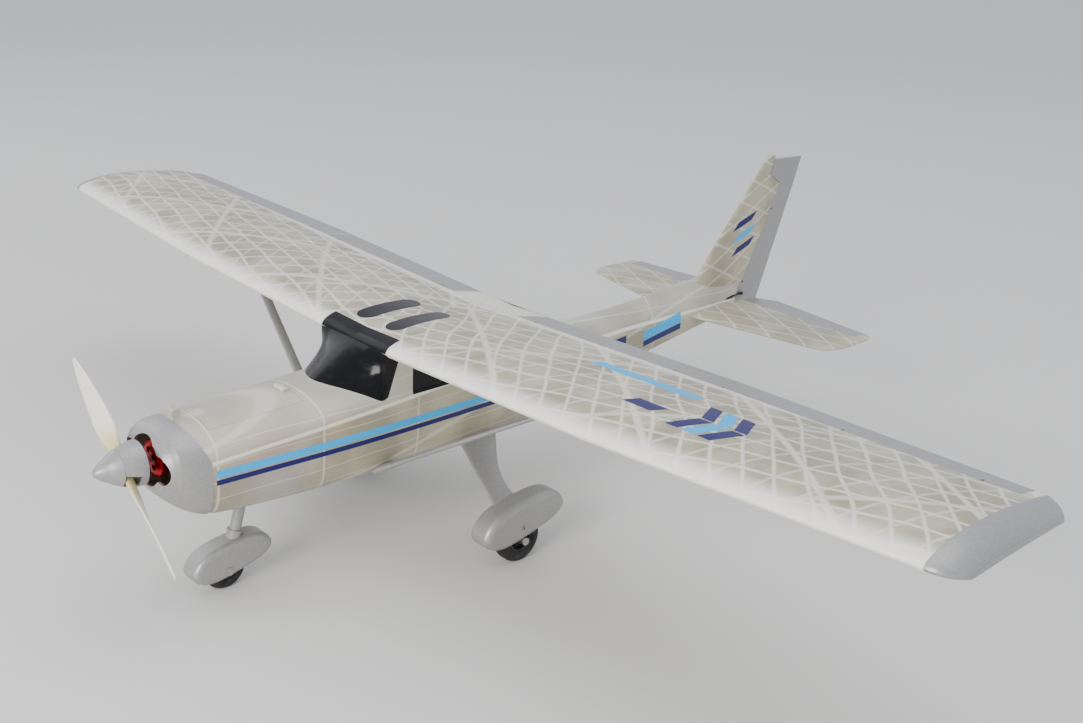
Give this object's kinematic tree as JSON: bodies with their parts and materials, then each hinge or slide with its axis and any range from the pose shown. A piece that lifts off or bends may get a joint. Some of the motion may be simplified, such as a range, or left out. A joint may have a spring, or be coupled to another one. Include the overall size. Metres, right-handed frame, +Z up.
{
  "type": "model aeroplane",
  "caption": "High-wing electric model aeroplane with printed translucent skins, strut-braced wing, hinged controls, wheel pants and a spinning propeller.",
  "frame": {"origin": "middle of the bounding box at the ground under the tyres", "axes": "+X to the left wing tip, +Y aft towards the tail, +Z up"},
  "size_m": [1.28, 0.969, 0.33],
  "materials": {
    "translucent_skin": "semi-translucent printed PLA, fine layer lines",
    "silver_plastic": "silver-grey printed PLA, satin",
    "smoked_film": "glossy black film",
    "tyre_rubber": "matt rubber",
    "white_plastic": "moulded nylon",
    "ivory_plastic": "moulded nylon, satin",
    "red_anodised": "anodised",
    "steel": "plain",
    "dark_metal": "laminated steel and enamelled wire",
    "carbon_tube": "pultruded carbon fibre",
    "battery_wrap": "shrink wrap over pouch cells",
    "black_plastic": "moulded case",
    "plywood": "birch plywood"
  },
  "bodies": {
    "airframe": {"battery": "battery_wrap", "boom_section": "translucent_skin", "cabin_section": "translucent_skin", "cowl": "silver_plastic", "fin": "translucent_skin", "gear_leg_left": "silver_plastic", "gear_leg_right": "silver_plastic", "gear_plate": "silver_plastic", "hinge_pins": "steel", "motor_base": "dark_metal", "motor_mount": "plywood", "nose_section": "translucent_skin", "nose_sleeve": "silver_plastic", "pant_left": "silver_plastic", "pant_right": "silver_plastic", "receiver": "black_plastic", "screws": "steel", "speed_controller": "black_plastic", "stabiliser": "translucent_skin", "strut_left": "silver_plastic", "strut_right": "silver_plastic", "tail_section": "translucent_skin", "tail_servos": "black_plastic", "window_panes": "smoked_film", "windscreen": "smoked_film", "wing_center": "translucent_skin", "wing_left": "translucent_skin", "wing_right": "translucent_skin", "wing_servos": "black_plastic", "wing_spars": "carbon_tube", "wing_tip_left": "silver_plastic", "wing_tip_right": "silver_plastic"},
    "propeller": {"propeller": "ivory_plastic", "spinner": "silver_plastic", "spinner_backplate": "silver_plastic", "prop_shaft": "steel", "motor_bell": "red_anodised"},
    "battery_hatch": {"battery_hatch": "translucent_skin"},
    "nose_gear": {"nose_leg": "silver_plastic", "nose_pant": "silver_plastic"},
    "nose_wheel": {"nose_tyre": "tyre_rubber", "nose_rim": "black_plastic"},
    "main_wheel_left": {"main_tyre_left": "tyre_rubber", "main_rim_left": "black_plastic"},
    "main_wheel_right": {"main_tyre_right": "tyre_rubber", "main_rim_right": "black_plastic"},
    "aileron_left": {"aileron_left": "silver_plastic"},
    "aileron_right": {"aileron_right": "silver_plastic"},
    "flap_left": {"flap_left": "silver_plastic"},
    "flap_right": {"flap_right": "silver_plastic"},
    "elevator": {"elevator": "silver_plastic"},
    "rudder": {"rudder": "silver_plastic"},
    "aileron_arm_left": {"aileron_arm_left": "white_plastic"},
    "aileron_arm_right": {"aileron_arm_right": "white_plastic"},
    "aileron_pushrod_left": {"aileron_pushrod_left": "steel"},
    "aileron_pushrod_right": {"aileron_pushrod_right": "steel"},
    "rudder_arm": {"rudder_arm": "white_plastic"},
    "elevator_arm": {"elevator_arm": "white_plastic"},
    "rudder_pushrod": {"rudder_pushrod": "carbon_tube"},
    "elevator_pushrod": {"elevator_pushrod": "carbon_tube"}
  },
  "joints": [
    {"name": "propeller_spin", "type": "hinge", "parent": "airframe", "child": "propeller", "pos_m": [0, -0.4565, 0.151], "axis": [0, 1, 0], "continuous": true},
    {"name": "hatch_lift", "type": "slide", "parent": "airframe", "child": "battery_hatch", "axis": [0, 0, 1], "range_m": [0, 0.06]},
    {"name": "rudder_hinge", "type": "hinge", "parent": "airframe", "child": "rudder", "pos_m": [0, 0.3735, 0.153], "axis": [0, 0.4549, 0.8905], "range_deg": [-20, 20]},
    {"name": "nose_steer", "type": "hinge", "parent": "airframe", "child": "nose_gear", "pos_m": [0, -0.3385, 0.097], "axis": [0, 0.2536, 0.9673], "range_deg": [-20, 20]},
    {"name": "nose_wheel_spin", "type": "hinge", "parent": "nose_gear", "child": "nose_wheel", "pos_m": [0, -0.3635, 0.021], "axis": [1, 0, 0], "continuous": true},
    {"name": "main_wheel_left_spin", "type": "hinge", "parent": "airframe", "child": "main_wheel_left", "pos_m": [0.131, -0.1085, 0.025], "axis": [1, 0, 0], "continuous": true},
    {"name": "main_wheel_right_spin", "type": "hinge", "parent": "airframe", "child": "main_wheel_right", "pos_m": [-0.131, -0.1085, 0.025], "axis": [1, 0, 0], "continuous": true},
    {"name": "flap_left_hinge", "type": "hinge", "parent": "airframe", "child": "flap_left", "pos_m": [0.0512, -0.045, 0.21722], "axis": [0.9992, -0.0106, 0.0395], "range_deg": [-30, 0]},
    {"name": "flap_right_hinge", "type": "hinge", "parent": "airframe", "child": "flap_right", "pos_m": [-0.0512, -0.045, 0.21722], "axis": [0.9992, 0.0106, -0.0395], "range_deg": [-30, 0]},
    {"name": "aileron_left_hinge", "type": "hinge", "parent": "airframe", "child": "aileron_left", "pos_m": [0.2876, -0.04751, 0.22656], "axis": [0.9992, -0.0106, 0.0377], "range_deg": [-20, 20]},
    {"name": "aileron_right_hinge", "type": "hinge", "parent": "airframe", "child": "aileron_right", "pos_m": [-0.2876, -0.04751, 0.22656], "axis": [0.9992, 0.0106, -0.0377], "range_deg": [-20, 20]},
    {"name": "aileron_arm_left_turn", "type": "hinge", "parent": "airframe", "child": "aileron_arm_left", "pos_m": [0.447, -0.0885, 0.23258], "axis": [1, 0, 0], "range_deg": [-21, 21]},
    {"name": "aileron_rod_left_turn", "type": "hinge", "parent": "aileron_arm_left", "child": "aileron_pushrod_left", "pos_m": [0.447, -0.0885, 0.21758], "axis": [1, 0, 0], "range_deg": [-21, 21]},
    {"name": "aileron_arm_right_turn", "type": "hinge", "parent": "airframe", "child": "aileron_arm_right", "pos_m": [-0.447, -0.0885, 0.23258], "axis": [1, 0, 0], "range_deg": [-21, 21]},
    {"name": "aileron_rod_right_turn", "type": "hinge", "parent": "aileron_arm_right", "child": "aileron_pushrod_right", "pos_m": [-0.447, -0.0885, 0.21758], "axis": [1, 0, 0], "range_deg": [-21, 21]},
    {"name": "elevator_hinge", "type": "hinge", "parent": "airframe", "child": "elevator", "pos_m": [0, 0.3785, 0.15], "axis": [1, 0, 0], "range_deg": [-20, 20]},
    {"name": "rudder_arm_turn", "type": "hinge", "parent": "airframe", "child": "rudder_arm", "pos_m": [0.02, -0.1385, 0.129], "axis": [0, 0, 1], "range_deg": [-25, 25]},
    {"name": "elevator_arm_turn", "type": "hinge", "parent": "airframe", "child": "elevator_arm", "pos_m": [-0.02, -0.1385, 0.129], "axis": [0, 0, 1], "range_deg": [-27, 27]},
    {"name": "rudder_rod_slide", "type": "slide", "parent": "airframe", "child": "rudder_pushrod", "axis": [-0.0049, 0.9983, 0.0588], "range_m": [-0.006, 0.006]},
    {"name": "elevator_rod_slide", "type": "slide", "parent": "airframe", "child": "elevator_pushrod", "axis": [0, 0.9999, 0.0154], "range_m": [-0.006, 0.006]}
  ],
  "couplings": [
    {"joint": "rudder_hinge", "follows": "nose_steer", "ratio": -1},
    {"joint": "rudder_arm_turn", "follows": "nose_steer", "ratio": 0.75},
    {"joint": "rudder_rod_slide", "follows": "nose_steer", "m_per_rad": -0.0073},
    {"joint": "elevator_arm_turn", "follows": "elevator_hinge", "ratio": 1.3},
    {"joint": "elevator_rod_slide", "follows": "elevator_hinge", "m_per_rad": 0.013},
    {"joint": "flap_right_hinge", "follows": "flap_left_hinge", "ratio": 1},
    {"joint": "aileron_right_hinge", "follows": "aileron_left_hinge", "ratio": -1},
    {"joint": "aileron_arm_left_turn", "follows": "aileron_left_hinge", "ratio": 1},
    {"joint": "aileron_rod_left_turn", "follows": "aileron_left_hinge", "ratio": -1},
    {"joint": "aileron_arm_right_turn", "follows": "aileron_left_hinge", "ratio": -1},
    {"joint": "aileron_rod_right_turn", "follows": "aileron_left_hinge", "ratio": 1}
  ]
}
